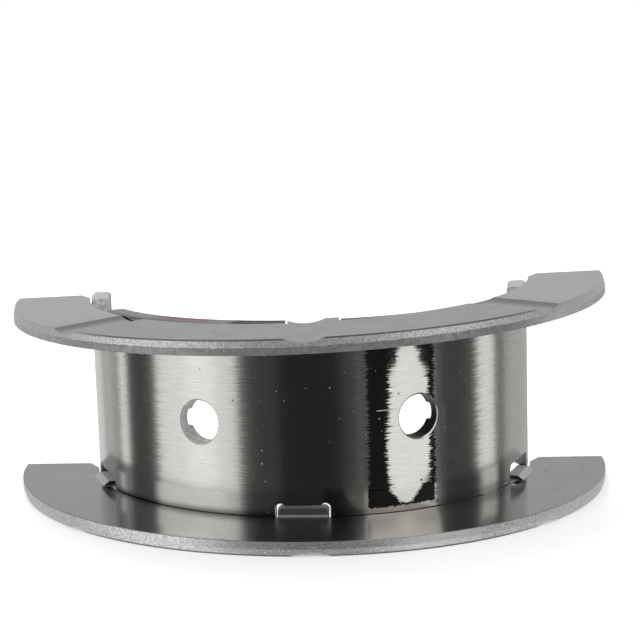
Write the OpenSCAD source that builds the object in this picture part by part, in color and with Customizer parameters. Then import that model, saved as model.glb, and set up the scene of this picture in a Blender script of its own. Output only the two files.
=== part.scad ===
// Flanged main bearing half: a half shell with a loose thrust flange clipped on each edge.
// The bearing axis is Z, the parting plane is Y = 0 and the back of the shell faces -Y.
// Z = 0 is the middle of the shell's width, where the oil holes are.

/* [Shell] */
// Outside diameter of the shell, the same as the housing bore
shell_od = 88; // [80:0.5:110]
// Wall thickness, steel back and bearing lining together
shell_wall = 3.6; // [3:0.1:5]
// Axial width over the end posts
shell_width = 38.2; // [36:0.1:50]
// How far the edge between the end notches is set back from the posts
edge_relief = 0.65; // [0.2:0.05:1]
// Chamfer on the shell's axial edges
edge_chamfer = 0.35; // [0.1:0.05:0.5]
// Chamfer along the bore where it meets each parting face
parting_chamfer = 0.8; // [0.3:0.1:1.5]

/* [Oil supply] */
// Diameter of the two oil holes
hole_d = 8; // [4:0.1:10]
// Angle of each oil hole from the middle of the back
hole_angle = 27; // [15:0.5:40]
// Chamfer on the outer edge of each oil hole
hole_chamfer = 0.25; // [0.1:0.05:0.5]
// Width of the oil groove in the bore
oil_groove_w = 3.2; // [2:0.1:5]
// Depth of the oil groove in the bore
oil_groove_depth = 1.35; // [0.5:0.05:1.8]

/* [Notches in the shell] */
// Width of the middle notch on each edge
middle_notch_w = 9.9; // [8:0.1:13]
// Angle of the middle notch off the middle of the back, to +X on the upper edge and -X on the lower
middle_notch_angle = 1.9; // [0:0.1:4]
// Radius of the relief in each root corner of the middle notch
notch_relief_r = 0.9; // [0.5:0.05:1.2]
// Width of each end notch
end_notch_w = 11.6; // [11.2:0.1:14]
// Depth of each end notch below the set-back edge
end_notch_depth = 4.5; // [4.4:0.1:7]
// Angle of each end notch from the middle of the back
end_notch_angle = 68; // [62:0.5:70]
// Corner radius at the root of each end notch
end_notch_corner_r = 1.1; // [0.5:0.1:2]
// Height of the bevel on the ends of the lower posts, at the back of the shell
post_bevel_back = 1.5; // [0.5:0.1:2]
// Height of the bevel on the ends of the lower posts, at the bore
post_bevel_bore = 3.3; // [2:0.1:4]

/* [Thrust flanges] */
// Outside diameter of the flanges
flange_od = 119; // [114:0.5:150]
// Thickness of the flanges
flange_t = 2.7; // [2:0.1:3]
// How far the thrust face of a square flange stands out past the shell's posts
thrust_stand = 0.6; // [0.5:0.05:1]
// Radial gap between the shell's back and a flange's inner edge
flange_fit = 0.35; // [0.25:0.05:0.6]
// How far the flange ends stop short of the parting plane
flange_end_gap = 0.4; // [0.2:0.1:1]
// Height of the sheared taper on the rim, on the thrust face's side
rim_taper_h = 1.35; // [0.5:0.05:1.6]
// Radial depth of the sheared taper on the rim
rim_taper_in = 0.4; // [0.1:0.05:0.8]
// Reach of the diagonal end cut along the parting edge
end_cut_in = 2.1; // [1:0.1:6]
// Reach of the diagonal end cut along the inner edge
end_cut_down = 5.2; // [2:0.1:6]

/* [Thrust grooves] */
// Width of the scooped oil grooves across the thrust faces
thrust_groove_w = 7.2; // [4:0.1:9]
// Depth of the scooped oil grooves
thrust_groove_depth = 0.75; // [0.3:0.05:0.9]
// Angle of the outer grooves from the middle one
thrust_groove_angle = 47; // [30:0.5:52]

/* [Middle lug of a flange] */
// Gap on each side of the lug in its notch
middle_lug_gap = 0.35; // [0.25:0.05:1]
// How far the tip of the lug stays back from the bore
lug_tip_back = 0.6; // [0.3:0.05:1]
// Height of the lug's tab above the flange's inner face
tab_h = 1.6; // [1.3:0.1:2]
// Gap between the tab and the root of its notch
tab_end_gap = 0.5; // [0.3:0.05:0.8]
// Bevel on the end corners of the tab
tab_bevel = 0.5; // [0.3:0.05:1.2]
// How far the tab's face is set in from the shell's back
tab_set_in = 0.1; // [0.05:0.05:0.5]
// Bevel that fills the bend at the tab's foot
tab_foot = 0.4; // [0.2:0.05:0.6]

/* [End pads of a flange] */
// Width of each end pad
end_pad_w = 8.4; // [6:0.1:9]
// How far the tips of the end pads stay back from the bore
end_pad_tip_back = 1.7; // [0.5:0.1:2.2]
// Angle of each end pad past the middle of its notch, towards the parting plane
end_pad_shift = 1.6; // [0:0.1:1.8]
// Height of the end pads above the flange's inner face
end_pad_h = 0.9; // [0.3:0.05:1.2]
// Depth of the end pads below the flange's inner face
end_pad_depth = 1; // [0.6:0.05:1.5]
// Reach of an end pad's foot outside the shell's back
end_pad_out = 1.4; // [1:0.1:3]
// How far the outer face of an end pad leans in at its top
end_pad_lean = 1.2; // [0.3:0.1:1.5]

/* [How the loose flanges sit] */
// Distance that the upper flange has dropped into its notches
upper_drop = 1.1; // [0:0.05:1.1]
// Roll of the upper flange about Y
upper_roll = 1.2; // [0:0.05:1.5]
// Pitch of the upper flange about X
upper_pitch = 1.2; // [0:0.05:1.5]
// Roll of the lower flange about Y
lower_roll = 0.75; // [0:0.05:1]
// Pitch of the lower flange about X
lower_pitch = 0.35; // [0:0.05:1]

/* [Hidden] */

$fn = 96;
shell_r = shell_od / 2;
bore_r = shell_r - shell_wall;
post_z = shell_width / 2;
edge_z = post_z - edge_relief;
lower_face_z = post_z + thrust_stand;
upper_face_z = lower_face_z - upper_drop;
flange_ir = shell_r + flange_fit;
flange_or = flange_od / 2;
lug_root_r = flange_ir + (flange_or - flange_ir) / 4;
lug_tip_r = bore_r + lug_tip_back;
middle_lug_w = middle_notch_w - 2 * middle_lug_gap;
tab_face_r = shell_r - tab_set_in;
end_pad_angle = end_notch_angle + end_pad_shift;
// Spare length of a cutting tool past the face that it cuts
over = 1;
// Half the angle of the set-back edge, which ends inside the end notches
relief_half_angle = end_notch_angle - asin((end_notch_w / 2 - over) / shell_r);
// Radius of the arc that gives a thrust groove its width and depth
thrust_groove_r = (pow(thrust_groove_w / 2, 2) + pow(thrust_groove_depth, 2)) / (2 * thrust_groove_depth);

steel_back = [0.42, 0.42, 0.43];
thrust_grey = [0.62, 0.62, 0.61];

// Half ring of an (r, z) profile, on the -Y side, spread about -Y by half_angle each way
module half_ring(half_angle) {
    rotate([0, 0, -90 - half_angle])
        rotate_extrude(angle = 2 * half_angle)
            children();
}

// Turns a piece at the middle of the back round to the given angle
module at_angle(angle) {
    rotate([0, 0, angle])
        children();
}

// Bar with an (r, z) section, laid across the middle of the back
module cross_bar(width) {
    rotate([90, 0, -90])
        translate([0, 0, -width / 2])
            linear_extrude(width)
                children();
}

// Cuts radially through the wall with a shape drawn as (along the edge, in from the set-back edge)
module edge_cut() {
    translate([0, -shell_r - over, edge_z])
        rotate([-90, 0, 0])
            linear_extrude(shell_wall + 3 * over)
                children();
}

module shell_profile() {
    c = edge_chamfer;
    polygon([
        [bore_r, -post_z + c], [bore_r + c, -post_z],
        [shell_r - c, -post_z], [shell_r, -post_z + c],
        [shell_r, post_z - c], [shell_r - c, post_z],
        [bore_r + c, post_z], [bore_r, post_z - c],
        [bore_r, oil_groove_w / 2], [bore_r + oil_groove_depth, oil_groove_w / 2],
        [bore_r + oil_groove_depth, -oil_groove_w / 2], [bore_r, -oil_groove_w / 2]
    ]);
}

// Band that sets the edge between the end notches back from the posts, with its chamfers
module edge_relief_profile() {
    c = edge_chamfer;
    polygon([
        [bore_r - over, edge_z - c - over], [bore_r + c, edge_z],
        [shell_r - c, edge_z], [shell_r + over, edge_z - c - over],
        [shell_r + over, post_z + over], [bore_r - over, post_z + over]
    ]);
}

// Notch with a round relief in each root corner
module middle_notch_shape(depth) {
    r = notch_relief_r;
    translate([-middle_notch_w / 2, -2 * over])
        square([middle_notch_w, depth - r / 2 + 2 * over]);
    translate([-middle_notch_w / 2 + r, 0])
        square([middle_notch_w - 2 * r, depth]);
    for (s = [-1, 1])
        translate([s * (middle_notch_w / 2 - r), depth - r / 2])
            circle(r);
}

module end_notch_shape() {
    r = end_notch_corner_r;
    translate([-end_notch_w / 2, -2 * over])
        square([end_notch_w, end_notch_depth - r + 2 * over]);
    translate([-end_notch_w / 2 + r, 0])
        square([end_notch_w - 2 * r, end_notch_depth]);
    for (s = [-1, 1])
        translate([s * (end_notch_w / 2 - r), end_notch_depth - r])
            circle(r);
}

module oil_hole() {
    rotate([90, 0, 0]) {
        cylinder(d = hole_d, h = shell_r + over);
        translate([0, 0, shell_r - hole_chamfer])
            cylinder(d1 = hole_d, d2 = hole_d + 2 * (hole_chamfer + over), h = hole_chamfer + over);
    }
}

// Bevels the ends of the posts from the bore out to the back, drawn for the upper edge
module post_bevels() {
    post_half_angle = 90 - end_notch_angle;
    slope = (post_bevel_bore - post_bevel_back) / shell_wall;
    for (s = [-1, 1])
        at_angle(s * 90)
            half_ring(post_half_angle)
                polygon([
                    [bore_r - over, post_z - post_bevel_bore - slope * over],
                    [shell_r + over, post_z - post_bevel_back + slope * over],
                    [shell_r + over, post_z + over], [bore_r - over, post_z + over]
                ]);
}

// Everything that is cut into the upper edge, for a flange whose thrust face is at face_z
module edge_cuts(face_z) {
    root_z = face_z - flange_t - tab_h - tab_end_gap;
    half_ring(relief_half_angle)
        edge_relief_profile();
    at_angle(middle_notch_angle)
        edge_cut()
            middle_notch_shape(edge_z - root_z);
    for (s = [-1, 1])
        at_angle(s * end_notch_angle)
            edge_cut()
                end_notch_shape();
}

module bearing_shell() {
    chamfer_side = parting_chamfer * sqrt(2);
    color(steel_back)
        difference() {
            half_ring(90)
                shell_profile();
            for (s = [-1, 1])
                at_angle(s * hole_angle)
                    oil_hole();
            edge_cuts(upper_face_z);
            rotate([0, 180, 0]) {
                edge_cuts(lower_face_z);
                post_bevels();
            }
            for (s = [-1, 1])
                translate([s * bore_r, 0, 0])
                    rotate([0, 0, 45])
                        cube([chamfer_side, chamfer_side, shell_width + 2 * over], center = true);
        }
}

// Diagonal cut on the flange's end at +X, from the parting edge to the inner edge
module end_cut_shape() {
    polygon([
        [flange_ir + end_cut_in, -flange_end_gap],
        [flange_ir - over, -flange_end_gap - end_cut_down],
        [bore_r - over, -flange_end_gap - end_cut_down],
        [bore_r - over, over], [flange_ir + end_cut_in, over]
    ]);
}

// Plan outline of a whole flange: the half ring and its middle lug
module flange_shape() {
    difference() {
        union() {
            difference() {
                circle(flange_or);
                circle(flange_ir);
            }
            at_angle(middle_notch_angle)
                translate([-middle_lug_w / 2, -lug_root_r])
                    square([middle_lug_w, lug_root_r - lug_tip_r]);
        }
        translate([-flange_or - over, -flange_end_gap])
            square([2 * (flange_or + over), flange_or + 2 * over]);
        end_cut_shape();
        mirror([1, 0])
            end_cut_shape();
    }
}

// Disc with the sheared taper on its rim, running past both faces of the flange
module tapered_disc() {
    taper_past_face = rim_taper_in * over / rim_taper_h;
    rotate_extrude()
        polygon([
            [0, -flange_t - over], [flange_or, -flange_t - over], [flange_or, -rim_taper_h],
            [flange_or - rim_taper_in - taper_past_face, over], [0, over]
        ]);
}

module thrust_groove() {
    translate([0, -lug_tip_r + over, thrust_groove_r - thrust_groove_depth])
        rotate([90, 0, 0])
            cylinder(r = thrust_groove_r, h = flange_or - lug_tip_r + 2 * over);
}

// Tab bent up from the middle lug, with bevelled end corners
module middle_tab() {
    side = middle_lug_w / 2;
    top = -flange_t - tab_h;
    translate([0, -lug_tip_r, 0])
        rotate([90, 0, 0])
            linear_extrude(tab_face_r - lug_tip_r)
                polygon([
                    [-side, -flange_t / 2], [side, -flange_t / 2], [side, top + tab_bevel],
                    [side - tab_bevel, top], [-side + tab_bevel, top], [-side, top + tab_bevel]
                ]);
    cross_bar(middle_lug_w)
        polygon([
            [tab_face_r - tab_foot, tab_foot - flange_t], [tab_face_r + tab_foot, tab_foot - flange_t],
            [tab_face_r + tab_foot, -flange_t], [tab_face_r, -flange_t - tab_foot],
            [tab_face_r - tab_foot, -flange_t - tab_foot]
        ]);
}

// Block on the flange's inner edge that reaches into an end notch
module end_pad() {
    tip_r = bore_r + end_pad_tip_back;
    foot_r = shell_r + end_pad_out;
    bottom = end_pad_depth - flange_t;
    top = -flange_t - end_pad_h;
    cross_bar(end_pad_w)
        polygon([
            [tip_r, bottom], [foot_r, bottom], [foot_r, -flange_t],
            [foot_r - end_pad_lean, top], [tip_r, top]
        ]);
}

// A flange with its thrust face on Z = 0, looking up
module thrust_flange() {
    difference() {
        union() {
            intersection() {
                translate([0, 0, -flange_t])
                    linear_extrude(flange_t)
                        flange_shape();
                tapered_disc();
            }
            at_angle(middle_notch_angle)
                middle_tab();
            for (s = [-1, 1])
                at_angle(s * end_pad_angle)
                    end_pad();
        }
        for (angle = [-thrust_groove_angle, 0, thrust_groove_angle])
            at_angle(angle)
                thrust_groove();
    }
}

// Sits a flange on the shell, turned about its middle lug
module seated(face_z, roll, pitch) {
    translate([0, -shell_r, face_z])
        rotate([pitch, -roll, 0])
            translate([0, shell_r, 0])
                children();
}

module upper_thrust_flange() {
    color(thrust_grey)
        seated(upper_face_z, upper_roll, upper_pitch)
            thrust_flange();
}

// The same flange turned over end for end
module lower_thrust_flange() {
    color(thrust_grey)
        rotate([0, 180, 0])
            seated(lower_face_z, -lower_roll, lower_pitch)
                thrust_flange();
}

bearing_shell();
upper_thrust_flange();
lower_thrust_flange();
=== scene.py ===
import math

import bpy
from mathutils import Matrix, Vector

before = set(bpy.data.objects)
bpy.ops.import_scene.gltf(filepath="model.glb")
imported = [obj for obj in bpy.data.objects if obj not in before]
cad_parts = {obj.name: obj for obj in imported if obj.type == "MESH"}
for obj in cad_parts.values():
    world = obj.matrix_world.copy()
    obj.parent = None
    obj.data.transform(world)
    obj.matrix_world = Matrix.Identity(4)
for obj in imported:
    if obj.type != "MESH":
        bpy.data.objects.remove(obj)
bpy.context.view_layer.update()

scene = bpy.context.scene
mm = 0.001
toMm = 1000.0


# node helpers

def put(tree, socket, value):
    if isinstance(value, bpy.types.NodeSocket):
        tree.links.new(value, socket)
    else:
        socket.default_value = value


def fill(tree, node, values):
    for label, value in values.items():
        put(tree, node.inputs[label], value)


def calc(tree, operation, a, b=0.0, clamp=False):
    node = tree.nodes.new("ShaderNodeMath")
    node.operation = operation
    node.use_clamp = clamp
    put(tree, node.inputs[0], a)
    put(tree, node.inputs[1], b)
    return node.outputs[0]


def chain(tree, operation, values):
    result = values[0]
    for value in values[1:]:
        result = calc(tree, operation, result, value)
    return result


def plus(tree, *values):
    return chain(tree, "ADD", values)


def times(tree, *values):
    return chain(tree, "MULTIPLY", values)


def most(tree, *values):
    return chain(tree, "MAXIMUM", values)


def flip(tree, mask):
    return calc(tree, "SUBTRACT", 1.0, mask)


def awayFrom(tree, value, middle):
    return calc(tree, "ABSOLUTE", calc(tree, "SUBTRACT", value, middle))


# a noise made to swing about nought
def swung(tree, value, size):
    return times(tree, calc(tree, "SUBTRACT", value, 0.5), size)


def vec(tree, operation, a, b=(0, 0, 0)):
    node = tree.nodes.new("ShaderNodeVectorMath")
    node.operation = operation
    put(tree, node.inputs[0], a)
    put(tree, node.inputs["Scale" if operation == "SCALE" else 1], b)
    return node.outputs["Value" if operation in ("DOT_PRODUCT", "LENGTH") else "Vector"]


def joinXyz(tree, x, y, z):
    node = tree.nodes.new("ShaderNodeCombineXYZ")
    for socket, value in zip(node.inputs, (x, y, z)):
        put(tree, socket, value)
    return node.outputs[0]


def splitXyz(tree, vector):
    node = tree.nodes.new("ShaderNodeSeparateXYZ")
    put(tree, node.inputs[0], vector)
    return node.outputs


def trueNormal(tree):
    return tree.nodes.new("ShaderNodeNewGeometry").outputs["True Normal"]


def objectPoint(tree):
    return tree.nodes.new("ShaderNodeTexCoord").outputs["Object"]


def ramp(tree, value, low, high, toLow=0.0, toHigh=1.0):
    node = tree.nodes.new("ShaderNodeMapRange")
    node.interpolation_type = "SMOOTHSTEP"
    fill(tree, node, {"Value": value, "From Min": low, "From Max": high, "To Min": toLow, "To Max": toHigh})
    return node.outputs[0]


def between(tree, value, low, high, soft):
    up = ramp(tree, value, low - soft, low + soft)
    down = ramp(tree, value, high - soft, high + soft, 1.0, 0.0)
    return times(tree, up, down)


def mixColour(tree, factor, a, b):
    node = tree.nodes.new("ShaderNodeMix")
    node.data_type = "RGBA"
    put(tree, node.inputs[0], factor)
    put(tree, node.inputs[6], a)
    put(tree, node.inputs[7], b)
    return node.outputs[2]


def mixValue(tree, factor, a, b):
    node = tree.nodes.new("ShaderNodeMix")
    node.data_type = "FLOAT"
    put(tree, node.inputs[0], factor)
    put(tree, node.inputs[2], a)
    put(tree, node.inputs[3], b)
    return node.outputs[0]


# colours laid over a base one after another, each with its mask
def layered(tree, base, *coats):
    for mask, colour in coats:
        base = mixColour(tree, mask, base, colour)
    return base


def noise(tree, vector, scale, detail=2.0, rough=0.5):
    node = tree.nodes.new("ShaderNodeTexNoise")
    fill(tree, node, {"Vector": vector, "Scale": scale, "Detail": detail, "Roughness": rough})
    return node.outputs[0]


def spots(tree, vector, look):
    return ramp(tree, noise(tree, vector, *look["noise"]), *look["ramp"])


def grey(level):
    return (level, level, level, 1.0)


def newGroup(name, inputs, outputs):
    tree = bpy.data.node_groups.new(name, "ShaderNodeTree")
    for label, kind in inputs.items():
        tree.interface.new_socket(label, in_out="INPUT", socket_type=kind)
    for label, kind in outputs.items():
        tree.interface.new_socket(label, in_out="OUTPUT", socket_type=kind)
    return tree, tree.nodes.new("NodeGroupInput").outputs, tree.nodes.new("NodeGroupOutput")


def useGroup(tree, group, **values):
    node = tree.nodes.new("ShaderNodeGroup")
    node.node_tree = group
    fill(tree, node, values)
    return node.outputs


# shared looks

# angle in degrees from the middle of the back, radius and height in mm
def makeRoundCoords():
    tree, start, end = newGroup(
        "roundCoords", {"Point": "NodeSocketVector"},
        {"Angle": "NodeSocketFloat", "Radius": "NodeSocketFloat", "Height": "NodeSocketFloat"})
    x, y, z = splitXyz(tree, start["Point"])
    turn = calc(tree, "ARCTAN2", x, times(tree, y, -1.0))
    flat = calc(tree, "SQRT", plus(tree, times(tree, x, x), times(tree, y, y)))
    fill(tree, end, {"Angle": times(tree, turn, 180 / math.pi), "Radius": times(tree, flat, toMm),
                     "Height": times(tree, z, toMm)})
    return tree


# each layer of streaks: angle scale, height scale, row of the noise, detail, roughness
streaks = {"fine": (0.2, 6.0, 0.0, 3.0, 0.7), "coarse": (0.12, 4.2, 4.0, 2.0, 0.6), "fineShare": 0.75}


# streaks that run round the bearing: a value, and the normal swung along them
def makeBrushing(b):
    tree, start, end = newGroup(
        "brushing", {"Normal": "NodeSocketVector", "Angle": "NodeSocketFloat", "Height": "NodeSocketFloat",
                     "Swing": "NodeSocketFloat"},
        {"Streak": "NodeSocketFloat", "Normal": "NodeSocketVector"})
    normal, angle, height, swing = (start[label] for label in ("Normal", "Angle", "Height", "Swing"))

    def layer(angleScale, heightScale, row, detail, rough):
        place = joinXyz(tree, times(tree, angle, angleScale), times(tree, height, heightScale), row)
        return noise(tree, place, 1.0, detail, rough)

    fine = layer(*b["fine"])
    coarse = layer(*b["coarse"])
    both = plus(tree, times(tree, fine, b["fineShare"]), times(tree, coarse, 1 - b["fineShare"]))
    x, y = splitXyz(tree, normal)[:2]
    along = joinXyz(tree, times(tree, y, -1.0), x, 0.0)
    push = vec(tree, "SCALE", along, swung(tree, coarse, swing))
    fill(tree, end, {"Streak": both, "Normal": vec(tree, "NORMALIZE", vec(tree, "ADD", normal, push))})
    return tree


# painted highlight on corners, where the bevelled normal leaves the flat one
edgeHighlighting = {"samples": 6, "ramp": (0.995, 0.86)}


def makeEdgeHighlight(w):
    tree, start, end = newGroup("edgeHighlight", {"Radius": "NodeSocketFloat"},
                                {"Mask": "NodeSocketFloat", "Normal": "NodeSocketVector"})
    bevel = tree.nodes.new("ShaderNodeBevel")
    bevel.samples = w["samples"]
    put(tree, bevel.inputs["Radius"], start["Radius"])
    near = vec(tree, "DOT_PRODUCT", bevel.outputs[0], trueNormal(tree))
    fill(tree, end, {"Mask": ramp(tree, near, *w["ramp"]), "Normal": bevel.outputs[0]})
    return tree


roundCoords = makeRoundCoords()
brushing = makeBrushing(streaks)
edgeHighlight = makeEdgeHighlight(edgeHighlighting)
print("groups ready")


def emptyMaterial(name):
    material = bpy.data.materials.new(name)
    material.use_nodes = True
    material.node_tree.nodes.clear()
    return material, material.node_tree


def show(tree, shader, output="ShaderNodeOutputMaterial"):
    tree.links.new(shader.outputs[0], tree.nodes.new(output).inputs[0])


def newMaterial(name):
    material, tree = emptyMaterial(name)
    shader = tree.nodes.new("ShaderNodeBsdfPrincipled")
    show(tree, shader)
    return material, tree, shader, objectPoint(tree)


# bearing shell

# ramps are (from, to) or (from, to, value there, value there), bands are (from, to, softness)
# sides are angles, a noise is (scale, detail, roughness)
shell = {
    "bevelRadius": 0.25 * mm, "backRamp": (43.92, 43.97), "boreRamp": (40.46, 40.42),
    "liningRamp": (41.15, 41.05), "upRamp": (0.5, 0.7), "edgeRamp": (17.55, 17.85),
    "backRough": 0.17, "polishRough": 0.05, "liningRough": 0.42, "cutRough": 0.4, "glintRough": 0.5,

    "polishSides": (13.6, 32.0, 0.5), "swing": 0.07, "polishSwing": 0.09, "streakRamp": (0.3, 0.7),
    "backColour": (0.74, 0.727, 0.692, 1.0), "streakColour": (0.6216, 0.61068, 0.58128, 1.0),
    "specks": {"noise": (800.0, 1.0), "ramp": (0.765, 0.785)}, "speckColour": grey(0.12),
    "dust": {"noise": (1700.0, 1.0), "ramp": (0.782, 0.8, 0.0, 0.5)}, "dustColour": grey(0.7),
    "dustShift": (0.3, 0.1, 0.2),

    "ragged": 6.0, "jagged": 0.9, "jaggedRow": 7.0, "jaggedNoise": (2.5, 2.0),
    "tongueAngle": 23.2, "tongueHalf": (-15.7, -12.6, 1.6, 4.2), "tongueFoot": -15.65, "tongueMatt": 0.7,
    "flankRagged": 0.3, "flankSides": (13.6, 31.0, 0.15), "flankBand": (-16.1, -12.6, 0.12),
    "flankReflectionColour": grey(0.02),

    # painted shade along the foot and left of the burnished patch
    "footShadeRamp": (-15.2, -16.8, 0.0, 0.75), "footShadeSides": (-5.0, 15.0, 1.0, 0.4), "footShadeColour": grey(0.02),
    "leftShadeSides": (3.0, 13.0, 1.2), "leftShadeRamp": (-10.8, -13.4, 0.0, 0.7), "leftShadeColour": grey(0.1),
    "satinSides": ((-41.0, -20.6, 1.8), (46.8, 53.4, 1.8), (-57.2, -54.2, 1.8)),
    "satinRamp": (-12.0, -13.3, 0.0, 0.55),
    "scratchSides": (16.3, 22.6, 0.4), "scratchBand": (1.73, 1.87, 0.05), "scratchColour": grey(0.45),

    "holeAngle": 27.0, "wallRamp": (0.85, 0.6), "holeShadeSides": (19.0, 35.0, 0.5), "holeShadeBand": (-6.0, 6.0, 0.5),
    "holeShadeColour": grey(0.012),
    "mottle": {"noise": (1500.0, 3.0), "ramp": (0.35, 0.65)}, "cutDark": grey(0.42), "cutLight": grey(0.62),
    "cutMatt": (-12.0, -8.0, 0.0, 0.75), "lowRamp": (-8.0, -12.0), "lowColour": grey(0.28),
    "liningDark": grey(0.42), "liningColour": grey(0.5),

    "edgeSides": (-66.0, 66.0, 1.0), "edgeColour": grey(0.24),
    "darkSides": (-18.0, 33.0, 1.5), "darkColour": grey(0.06),
    "paintSides": (-38.0, -22.0, 3.0), "paintNoise": 500.0, "paintShift": 3.0,
    "paintRadius": (43.2, 42.2, 0.3, 1.0), "paintColour": (0.19, 0.085, 0.085, 1.0),

    "notchAngle": -1.9, "notchSides": (5.2, 7.4, 0.2), "notchRamp": (-14.5, -15.0),
    "mouthRadius": (43.76, 43.98, 0.02), "mouthBand": (-4.5, 1.5, 0.6), "mouthSides": (28.0, 34.0, 1.0),
    "glintColour": grey(0.92), "glintMatt": 0.9,
}


def makeShellMaterial(s):
    material, tree, shader, point = newMaterial("shellSteel")
    angle, radius, height = useGroup(tree, roundCoords, Point=point)
    bevelledEdge = useGroup(tree, edgeHighlight, Radius=s["bevelRadius"])
    normal = trueNormal(tree)
    back = ramp(tree, radius, *s["backRamp"])
    bore = ramp(tree, radius, *s["boreRamp"])
    lining = ramp(tree, radius, *s["liningRamp"])
    upward = ramp(tree, splitXyz(tree, normal)[2], *s["upRamp"])
    edge = times(tree, upward, ramp(tree, height, *s["edgeRamp"]))

    # burnished patch round the right hole, dark specks and pale dust
    polish = between(tree, angle, *s["polishSides"])
    brushed = useGroup(tree, brushing, Normal=bevelledEdge["Normal"], Angle=angle, Height=height,
                       Swing=mixValue(tree, polish, s["swing"], s["polishSwing"]))
    streak = ramp(tree, brushed["Streak"], *s["streakRamp"])
    specks = spots(tree, point, s["specks"])
    dust = times(tree, back, spots(tree, vec(tree, "ADD", point, s["dustShift"]), s["dust"]))

    # painted reflection at the foot of the burnished patch: black flanks closing on a tongue put back to the
    # plain colour and made matt
    ragged = swung(tree, brushed["Streak"], s["ragged"])
    row = joinXyz(tree, angle, 0.0, s["jaggedRow"])
    uneven = plus(tree, height, swung(tree, noise(tree, row, *s["jaggedNoise"]), s["jagged"]))
    fromTongue = awayFrom(tree, plus(tree, angle, ragged), s["tongueAngle"])
    inTongue = times(tree, calc(tree, "LESS_THAN", fromTongue, ramp(tree, height, *s["tongueHalf"])),
                     calc(tree, "GREATER_THAN", uneven, s["tongueFoot"]))
    shifted = plus(tree, angle, times(tree, ragged, s["flankRagged"]))
    foot = times(tree, back, between(tree, shifted, *s["flankSides"]), between(tree, uneven, *s["flankBand"]))
    flank = times(tree, foot, flip(tree, inTongue))
    tongue = times(tree, foot, inTongue)

    # painted shade along the foot and low down left of the patch, satin where the foot is clear of that shade
    footShade = times(tree, ramp(tree, height, *s["footShadeRamp"]), ramp(tree, angle, *s["footShadeSides"]))
    leftShade = times(tree, between(tree, angle, *s["leftShadeSides"]), ramp(tree, height, *s["leftShadeRamp"]))
    satin = plus(tree, *[between(tree, angle, *sides) for sides in s["satinSides"]])
    satin = times(tree, back, satin, ramp(tree, height, *s["satinRamp"]), flip(tree, footShade))
    scratch = times(tree, back, between(tree, angle, *s["scratchSides"]),
                    between(tree, height, *s["scratchBand"]))
    backColour = layered(tree, mixColour(tree, streak, s["streakColour"], s["backColour"]),
                         (specks, s["speckColour"]), (dust, s["dustColour"]), (leftShade, s["leftShadeColour"]),
                         (footShade, s["footShadeColour"]), (flank, s["flankReflectionColour"]), (tongue, s["backColour"]),
                         (scratch, s["scratchColour"]))

    # cut faces, and the hole walls, the right one darkened with painted shade
    turn = math.radians(s["holeAngle"])
    along = vec(tree, "DOT_PRODUCT", normal, (math.sin(turn), -math.cos(turn), 0))
    wall = ramp(tree, calc(tree, "ABSOLUTE", along), *s["wallRamp"])
    holeShade = times(tree, wall, between(tree, angle, *s["holeShadeSides"]), between(tree, height, *s["holeShadeBand"]))
    cutColour = layered(tree, mixColour(tree, spots(tree, point, s["mottle"]), s["cutDark"], s["cutLight"]),
                        (lining, s["liningColour"]), (ramp(tree, height, *s["lowRamp"]), s["lowColour"]),
                        (holeShade, s["holeShadeColour"]))
    boreColour = mixColour(tree, streak, s["liningDark"], s["liningColour"])

    # upper edge: darker in front, with a faded, partly gone red paint mark beside it
    dull = times(tree, edge, between(tree, angle, *s["edgeSides"]))
    dark = times(tree, edge, between(tree, angle, *s["darkSides"]))
    patch = plus(tree, angle, times(tree, noise(tree, point, s["paintNoise"]), s["paintShift"]))
    paint = times(tree, edge, between(tree, patch, *s["paintSides"]), ramp(tree, radius, *s["paintRadius"]))

    # painted glints on the corners of the lower middle notch and on the right hole's mouth
    fromNotch = awayFrom(tree, angle, s["notchAngle"])
    corner = times(tree, between(tree, fromNotch, *s["notchSides"]), ramp(tree, height, *s["notchRamp"]))
    mouth = times(tree, between(tree, radius, *s["mouthRadius"]), between(tree, height, *s["mouthBand"]),
                  between(tree, angle, *s["mouthSides"]))
    glint = most(tree, times(tree, corner, bevelledEdge["Mask"]), mouth)

    colour = layered(tree, cutColour, (bore, boreColour), (back, backColour), (dull, s["edgeColour"]),
                     (dark, s["darkColour"]), (paint, s["paintColour"]), (glint, s["glintColour"]))
    rough = mixValue(tree, polish, s["backRough"], s["polishRough"])
    rough = mixValue(tree, back, s["cutRough"], rough)
    rough = mixValue(tree, bore, rough, s["liningRough"])
    rough = mixValue(tree, glint, rough, s["glintRough"])
    cut = times(tree, flip(tree, most(tree, back, bore)), ramp(tree, height, *s["cutMatt"]), flip(tree, holeShade))
    matt = most(tree, cut, paint, times(tree, glint, s["glintMatt"]), times(tree, tongue, s["tongueMatt"]),
                satin, scratch, dust)
    fill(tree, shader, {"Base Color": colour, "Roughness": rough, "Metallic": flip(tree, matt),
                        "Normal": brushed["Normal"]})
    return material


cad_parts["bearing_shell"].material_slots[0].material = makeShellMaterial(shell)
print("shell ready")


# thrust flanges

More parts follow.
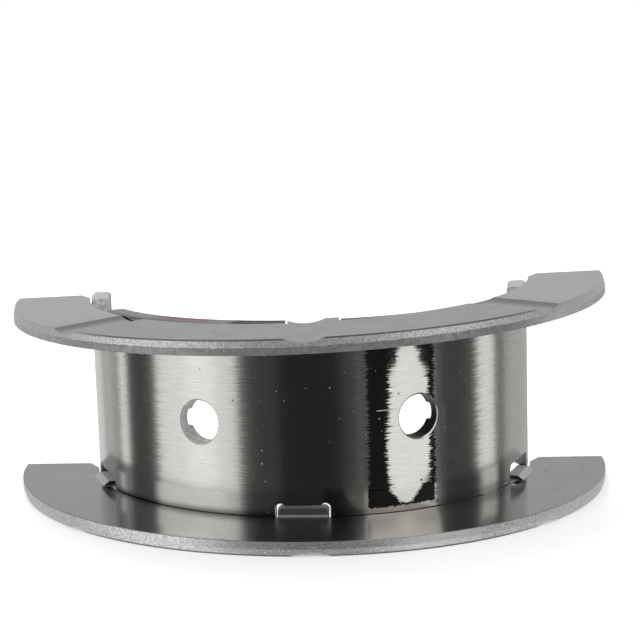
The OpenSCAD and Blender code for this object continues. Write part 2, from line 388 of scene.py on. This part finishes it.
upperFlange = {
    "node": "upper_thrust_flange", "face": (-0.02031187, -0.0478654, 0.01809354),
    "out": (-0.02093783, -0.02094242, 0.99956142),
    "torn": 1.35, "tornDark": grey(0.6), "tornLight": grey(0.9), "tornMetal": 0.82,
    "shadeAngle": 0.0, "shadeShare": 0.25, "paintedLightSides": (),
    "rimColour": grey(0.28), "reflectionPatches": (), "glintSpots": (),
}
lowerFlange = {
    "node": "lower_thrust_flange", "face": (-0.02031597, -0.04786618, -0.01941043),
    "out": (-0.01308935, -0.00610861, -0.99989567),
    "torn": 2.6, "tornDark": grey(0.58), "tornLight": grey(0.94), "tornMetal": 0.8,
    "shadeAngle": -2.0, "shadeShare": 0.7, "paintedLightSides": ((15.0, 29.0, 5.0),),
    "rimColour": grey(0.3),
    # painted reflections on the inner face, along x: a light one in front of the burnished patch, a dark rough
    # one in front of the middle tab
    "reflectionPatches": ({"band": (10.3, 22.7, 0.9), "colour": (0.72, 0.69, 0.63, 1.0), "rough": 0.45, "metal": 0.5},
                {"band": (-9.5, 6.5, 0.9), "colour": grey(0.3), "rough": 0.3, "metal": 1.0}),
    # painted glint spots beside the end pads
    "glintSpots": ((-0.03895, -0.01896, -0.01737), (0.03879, -0.02262, -0.01764)),
}
# what both flanges share
flange = {
    "bevelRadius": 0.2 * mm, "faceRamp": (0.5, 0.7), "innerRamp": (-0.7, -0.85), "rimRamp": (58.0, 58.2),
    "endsRamp": (33.0, 51.0), "grain": (2200.0, 3.0, 0.7), "cloud": (160.0, 4.0, 0.6),
    "sideColour": grey(0.45), "sideMetal": 0.95,

    "tornNoise": (700.0, 4.0, 0.6), "tornSwing": 0.4, "tornSoft": 0.06, "tornGrain": (0.36, 0.64),
    "tornRough": 0.42, "tornHeight": 0.12, "shadeRamp": (6.0, 20.0), "shadeColour": grey(0.3),
    "paintedLightShare": 0.75, "paintedLightColour": grey(0.99), "endsShare": 0.5, "endsColour": grey(0.72),
    "sparkle": {"noise": (3100.0, 2.0), "ramp": (0.64, 0.7)}, "sparkleColour": grey(0.95),
    "lineRamp": (0.34, 0.2), "lineColour": grey(0.2),

    "faceCloud": (0.35, 0.65), "faceDark": grey(0.375), "faceLight": grey(0.415),
    "wingRamp": (40.0, 58.0), "wingColour": grey(0.485),
    "faceGrain": (0.3, 0.7, 0.0, 0.25), "faceGrainColour": grey(0.3),
    "faceRough": 0.4, "faceMetal": 0.45, "faceNoise": (2600.0, 3.0, 0.6), "faceHeight": 0.015,
    "pits": {"noise": (900.0, 1.0), "ramp": (0.76, 0.78)}, "pitColour": grey(0.1), "innerPitColour": grey(0.2),
    "grooveAngle": 47.0, "slopeUp": (0.4, 3.1), "slopeDown": (3.75, 3.55), "slopeShadeShare": 0.65,
    "slopeShadeColour": grey(0.1),

    "innerCloud": (0.3, 0.7), "innerDark": grey(0.62), "innerLight": grey(0.66),
    "innerRough": 0.13, "innerMetal": 1.0, "frontRamp": (-0.03, -0.035),

    "rimMottle": {"noise": (1300.0, 3.0, 0.6), "ramp": (0.35, 0.65)}, "rimDark": grey(0.2),
    "rimEndDark": grey(0.3), "rimEndLight": grey(0.5), "rimRough": 0.35, "rimMetal": 0.55,

    "padSides": (63.6, 75.6, 0.5), "padDepth": (2.73, 2.78), "padGrain": (0.35, 0.65),
    "padDark": grey(0.46), "padLight": grey(0.56), "padTop": (-0.35, -0.6), "padShadeColour": grey(0.07),
    "padRough": 0.5, "padSideMetal": 0.95, "padMetal": 0.25,
    "padHighlightShare": 0.6, "padHighlightColour": grey(0.66), "glintSpotRamp": (0.5 * mm, 0.3 * mm), "glintSpotColour": grey(0.95),
}


def makeFlangeMaterial(f, seat):
    material, tree, shader, point = newMaterial(seat["node"] + "Steel")
    angle, radius = useGroup(tree, roundCoords, Point=point)[:2]
    x, y = splitXyz(tree, point)[:2]
    bevelledEdge = useGroup(tree, edgeHighlight, Radius=f["bevelRadius"])
    facing = vec(tree, "DOT_PRODUCT", trueNormal(tree), seat["out"])
    depth = vec(tree, "DOT_PRODUCT", vec(tree, "SUBTRACT", seat["face"], point), seat["out"])
    depth = times(tree, depth, toMm)
    face = ramp(tree, facing, *f["faceRamp"])
    inner = ramp(tree, facing, *f["innerRamp"])
    flat = calc(tree, "ADD", face, inner, clamp=True)
    rim = times(tree, ramp(tree, radius, *f["rimRamp"]), flip(tree, flat))
    fromMiddle = calc(tree, "ABSOLUTE", angle)
    ends = ramp(tree, fromMiddle, *f["endsRamp"])
    grain = noise(tree, point, *f["grain"])
    cloud = noise(tree, point, *f["cloud"])

    # torn band of the rim: painted shade in the middle, painted light on the listed sides, even towards the
    # ends, a dark line along the face
    tornLine = plus(tree, depth, swung(tree, noise(tree, point, *f["tornNoise"]), f["tornSwing"]))
    torn = times(tree, rim, ramp(tree, tornLine, seat["torn"] + f["tornSoft"], seat["torn"] - f["tornSoft"]))
    tornGrain = ramp(tree, grain, *f["tornGrain"])
    shade = ramp(tree, awayFrom(tree, angle, seat["shadeAngle"]), *f["shadeRamp"], seat["shadeShare"], 0.0)
    tornColour = layered(tree, seat["tornDark"], (tornGrain, seat["tornLight"]), (shade, f["shadeColour"]))
    for sides in seat["paintedLightSides"]:
        paintedLight = times(tree, between(tree, angle, *sides), f["paintedLightShare"])
        tornColour = mixColour(tree, paintedLight, tornColour, f["paintedLightColour"])
    tornColour = layered(tree, tornColour, (times(tree, ends, f["endsShare"]), f["endsColour"]),
                         (spots(tree, point, f["sparkle"]), f["sparkleColour"]),
                         (times(tree, flip(tree, ends), ramp(tree, depth, *f["lineRamp"])), f["lineColour"]))

    # thrust face: lighter wings, pits, painted shade on the outer slope of each side groove
    pits = spots(tree, point, f["pits"])
    turn = math.radians(f["grooveAngle"])
    across = plus(tree, times(tree, calc(tree, "ABSOLUTE", x), toMm * math.cos(turn)),
                  times(tree, y, toMm * math.sin(turn)))
    slope = times(tree, ramp(tree, across, *f["slopeUp"]), ramp(tree, across, *f["slopeDown"]), f["slopeShadeShare"])
    faceColour = layered(tree, f["faceDark"], (ramp(tree, cloud, *f["faceCloud"]), f["faceLight"]),
                         (ramp(tree, fromMiddle, *f["wingRamp"]), f["wingColour"]),
                         (ramp(tree, grain, *f["faceGrain"]), f["faceGrainColour"]),
                         (pits, f["pitColour"]), (slope, f["slopeShadeColour"]))

    # inner face, with the painted reflections in front
    innerColour = layered(tree, f["innerDark"], (ramp(tree, cloud, *f["innerCloud"]), f["innerLight"]),
                          (pits, f["innerPitColour"]))
    innerRough, innerMetal = f["innerRough"], f["innerMetal"]
    front = times(tree, inner, ramp(tree, y, *f["frontRamp"]))
    for reflectionPatch in seat["reflectionPatches"]:
        patch = times(tree, front, between(tree, times(tree, x, toMm), *reflectionPatch["band"]))
        innerColour = mixColour(tree, patch, innerColour, reflectionPatch["colour"])
        innerRough = mixValue(tree, patch, innerRough, reflectionPatch["rough"])
        innerMetal = mixValue(tree, patch, innerMetal, reflectionPatch["metal"])

    rimEnds = mixColour(tree, tornGrain, f["rimEndDark"], f["rimEndLight"])
    rimColour = layered(tree, f["rimDark"], (spots(tree, point, f["rimMottle"]), seat["rimColour"]),
                        (ends, rimEnds))

    # end pads with painted shade on their sides and a painted highlight on their corners, and painted glint
    # spots beside them
    pad = times(tree, between(tree, fromMiddle, *f["padSides"]), ramp(tree, depth, *f["padDepth"]))
    padTop = ramp(tree, facing, *f["padTop"])
    padColour = mixColour(tree, ramp(tree, grain, *f["padGrain"]), f["padDark"], f["padLight"])
    padColour = mixColour(tree, padTop, f["padShadeColour"], padColour)
    padHighlight = times(tree, bevelledEdge["Mask"], times(tree, pad, f["padHighlightShare"]))
    glintSpot = 0.0
    for place in seat["glintSpots"]:
        away = vec(tree, "LENGTH", vec(tree, "SUBTRACT", point, place))
        glintSpot = plus(tree, glintSpot, ramp(tree, away, *f["glintSpotRamp"]))

    colour = layered(tree, f["sideColour"], (rim, rimColour), (face, faceColour), (inner, innerColour),
                     (torn, tornColour), (pad, padColour), (padHighlight, f["padHighlightColour"]), (glintSpot, f["glintSpotColour"]))
    rough = mixValue(tree, face, f["rimRough"], f["faceRough"])
    rough = mixValue(tree, inner, rough, innerRough)
    rough = mixValue(tree, torn, rough, f["tornRough"])
    rough = mixValue(tree, pad, rough, f["padRough"])
    metal = mixValue(tree, rim, f["sideMetal"], f["rimMetal"])
    metal = mixValue(tree, face, metal, f["faceMetal"])
    metal = mixValue(tree, inner, metal, innerMetal)
    metal = mixValue(tree, torn, metal, seat["tornMetal"])
    metal = mixValue(tree, pad, metal, mixValue(tree, padTop, f["padSideMetal"], f["padMetal"]))
    metal = times(tree, metal, flip(tree, glintSpot))
    tornHeight = times(tree, torn, times(tree, grain, f["tornHeight"]))
    faceHeight = times(tree, face, times(tree, noise(tree, point, *f["faceNoise"]), f["faceHeight"]))
    bump = tree.nodes.new("ShaderNodeBump")
    fill(tree, bump, {"Strength": 1.0, "Distance": mm, "Height": plus(tree, tornHeight, faceHeight),
                      "Normal": bevelledEdge["Normal"]})
    fill(tree, shader, {"Base Color": colour, "Roughness": rough, "Metallic": metal,
                        "Normal": bump.outputs[0]})
    return material


for seat in (upperFlange, lowerFlange):
    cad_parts[seat["node"]].material_slots[0].material = makeFlangeMaterial(flange, seat)
print("flanges ready")


# studio

square = ((-1, -1), (1, -1), (1, 1), (-1, 1))


def plainMesh(name, vertices, faces):
    mesh = bpy.data.meshes.new(name)
    mesh.from_pydata(vertices, [], faces)
    obj = bpy.data.objects.new(name, mesh)
    scene.collection.objects.link(obj)
    return obj


floor = {"half": 4.0, "gap": 0.02 * mm, "noise": 3.0, "dark": grey(0.8), "light": grey(0.81),
         "rough": 0.9, "glow": 0.24}


# lies against the lower thrust face
def makeFloor(f):
    out = Vector(lowerFlange["out"])
    side = out.cross(Vector((0, 1, 0))).normalized()
    deep = side.cross(out)
    middle = Vector(lowerFlange["face"]) + out * f["gap"]
    corners = [middle + side * f["half"] * a + deep * f["half"] * b for a, b in square]
    obj = plainMesh("floor", corners, [(0, 1, 2, 3)])
    material, tree, shader, point = newMaterial("paleFloor")
    path = tree.nodes.new("ShaderNodeLightPath").outputs
    seen = plus(tree, path["Is Camera Ray"], path["Is Glossy Ray"])
    seen = calc(tree, "ADD", seen, path["Is Transmission Ray"], clamp=True)
    fill(tree, shader, {
        "Base Color": mixColour(tree, noise(tree, point, f["noise"]), f["dark"], f["light"]),
        "Roughness": f["rough"], "Specular IOR Level": 0.0,
        "Emission Color": grey(1.0), "Emission Strength": times(tree, seen, f["glow"])})
    obj.data.materials.append(material)
    obj.visible_glossy = False


# azimuth range round the object, 0 towards the camera, and brightness below and above the horizon
cards = {
    "backLeft": (-189, -140, 0.72, 0.42), "sideLeft": (-140, -122, 0.5, 0.36),
    "gapLeft": (-122, -115.5, 0.32, 0.12), "stripLeft": (-115.5, -107.5, 0.95, 0.34),
    "flagLeft": (-107.5, -84, 0.06, 0.085), "softboxLeft": (-84, -65, 0.95, 0.95),
    "softboxCore": (-65, -48, 1.1, 1.05), "softboxEnd": (-48, -36, 0.9, 0.9),
    "flagFrontLeft": (-36, -15, 0.055, 0.05), "flagFront": (-15, 15, 0.022, 0.03),
    "flagFrontRight": (15, 22, 0.05, 0.06), "slit": (22, 27.5, 0.13, 0.3),
    "flagBehind": (27.5, 64.5, 0.012, 0.9), "edgeRight": (64.5, 67, 0.2, 0.2),
    "flagRight": (67, 93, 0.062, 0.05), "stripRight": (93, 107.5, 0.92, 0.26),
    "wallRight": (107.5, 118, 0.18, 0.1), "backRight": (118, 171, 0.46, 0.4),
}
# outline of the right softbox: height, azimuth range
softboxRight = [
    (-0.105, 46, 52), (-0.112, 43.8, 55), (-0.12, 42.5, 56.5), (-0.128, 39.5, 60.6), (-0.15, 39.5, 61.2),
    (-0.17, 37.6, 61.2), (-0.194, 38.2, 60.4), (-0.203, 40, 54), (-0.213, 43, 51),
]
ring = {"radius": 0.75, "foot": -0.8, "top": 0.7, "step": 3, "softboxGap": 0.01, "softboxGlow": 1.0,
        "ceilingReach": 1.1, "ceilingBelow": 0.35, "ceilingAbove": 1.1,
        # heights in mm: the horizon, and where the upper part fades
        "horizon": (-30, 30), "fade": (180, 550, 1.0, 0.3)}


# seen only in reflections
def makeCard(name, vertices, faces, below, above):
    material, tree = emptyMaterial(name)
    height = useGroup(tree, roundCoords, Point=objectPoint(tree))["Height"]
    high = times(tree, ramp(tree, height, *ring["fade"]), above)
    glow = tree.nodes.new("ShaderNodeEmission")
    fill(tree, glow, {"Color": grey(1.0),
                      "Strength": mixValue(tree, ramp(tree, height, *ring["horizon"]), below, high)})
    show(tree, glow)
    card = plainMesh(name, vertices, faces)
    card.data.materials.append(material)
    card.visible_camera = False
    card.visible_diffuse = False
    card.visible_shadow = False


# rows are (height, azimuth from, azimuth to)
def makeRoundCard(name, rows, radius, below, above):
    steps = max(2, int((rows[0][2] - rows[0][1]) / ring["step"]))
    vertices = []
    for z, fromAngle, toAngle in rows:
        for i in range(steps + 1):
            a = math.radians(fromAngle + (toAngle - fromAngle) * i / steps)
            vertices.append((radius * math.sin(a), -radius * math.cos(a), z))
    wide = steps + 1
    starts = [j * wide + i for j in range(len(rows) - 1) for i in range(steps)]
    faces = [(k, k + 1, k + wide + 1, k + wide) for k in starts]
    makeCard(name, vertices, faces, below, above)


makeFloor(floor)
for name, (fromAngle, toAngle, below, above) in cards.items():
    rows = [(z, fromAngle, toAngle) for z in (ring["foot"], ring["top"])]
    makeRoundCard(name, rows, ring["radius"], below, above)
makeRoundCard("softboxRight", softboxRight, ring["radius"] - ring["softboxGap"],
              ring["softboxGlow"], ring["softboxGlow"])
ceilingHalf = ring["radius"] * ring["ceilingReach"]
makeCard("ceiling", [(ceilingHalf * a, ceilingHalf * b, ring["top"]) for a, b in square], [(0, 1, 2, 3)],
         ring["ceilingBelow"], ring["ceilingAbove"])


def makeWorld():
    world = bpy.data.worlds.new("studio")
    scene.world = world
    world.use_nodes = True
    tree = world.node_tree
    tree.nodes.clear()
    background = tree.nodes.new("ShaderNodeBackground")
    fill(tree, background, {"Color": grey(1.0), "Strength": 1.0})
    show(tree, background, "ShaderNodeOutputWorld")


lightTarget = Vector((0, -0.03, 0))
lights = {
    "overhead": {"place": (-0.15, 0.45, 0.75), "size": 0.6, "power": 3.0},
    "key": {"place": (-0.6, -0.55, 0.3), "size": 0.3, "power": 1.2},
    "fill": {"place": (0.65, -0.5, 0.2), "size": 0.3, "power": 1.6},
}


def makeLight(name, lamp):
    data = bpy.data.lights.new(name, "AREA")
    data.shape = "DISK"
    data.size = lamp["size"]
    data.energy = lamp["power"]
    light = bpy.data.objects.new(name, data)
    scene.collection.objects.link(light)
    light.location = lamp["place"]
    light.rotation_euler = (lightTarget - Vector(lamp["place"])).to_track_quat("-Z", "Y").to_euler()
    light.visible_camera = False
    light.visible_glossy = False


makeWorld()
for name, lamp in lights.items():
    makeLight(name, lamp)
print("studio ready")


# camera, fitted to the rims, the foot of the shell and the holes

camera = {"place": (6.199, -317.729, 61.518), "yaw": 0.01303, "pitch": -0.15458, "roll": -0.02986,
          "focal": 1570.149, "pixels": 640, "sensor": 36.0, "clip": 0.01}


def makeCamera(c):
    ca, sa = math.cos(c["yaw"]), math.sin(c["yaw"])
    cb, sb = math.cos(c["pitch"]), math.sin(c["pitch"])
    cc, sc = math.cos(c["roll"]), math.sin(c["roll"])
    yaw = Matrix(((ca, sa, 0), (-sa, ca, 0), (0, 0, 1)))
    pitch = Matrix(((1, 0, 0), (0, cb, sb), (0, -sb, cb)))
    roll = Matrix(((cc, 0, sc), (0, 1, 0), (-sc, 0, cc)))
    rows = roll @ pitch @ yaw
    turn = Matrix((rows[0], rows[2], -rows[1])).transposed()
    data = bpy.data.cameras.new("camera")
    data.sensor_width = c["sensor"]
    data.lens = c["focal"] / c["pixels"] * c["sensor"]
    data.clip_start = c["clip"]
    obj = bpy.data.objects.new("camera", data)
    scene.collection.objects.link(obj)
    obj.matrix_world = Matrix.Translation(Vector(c["place"]) * mm) @ turn.to_4x4()
    scene.camera = obj


makeCamera(camera)
scene.view_settings.view_transform = "Standard"
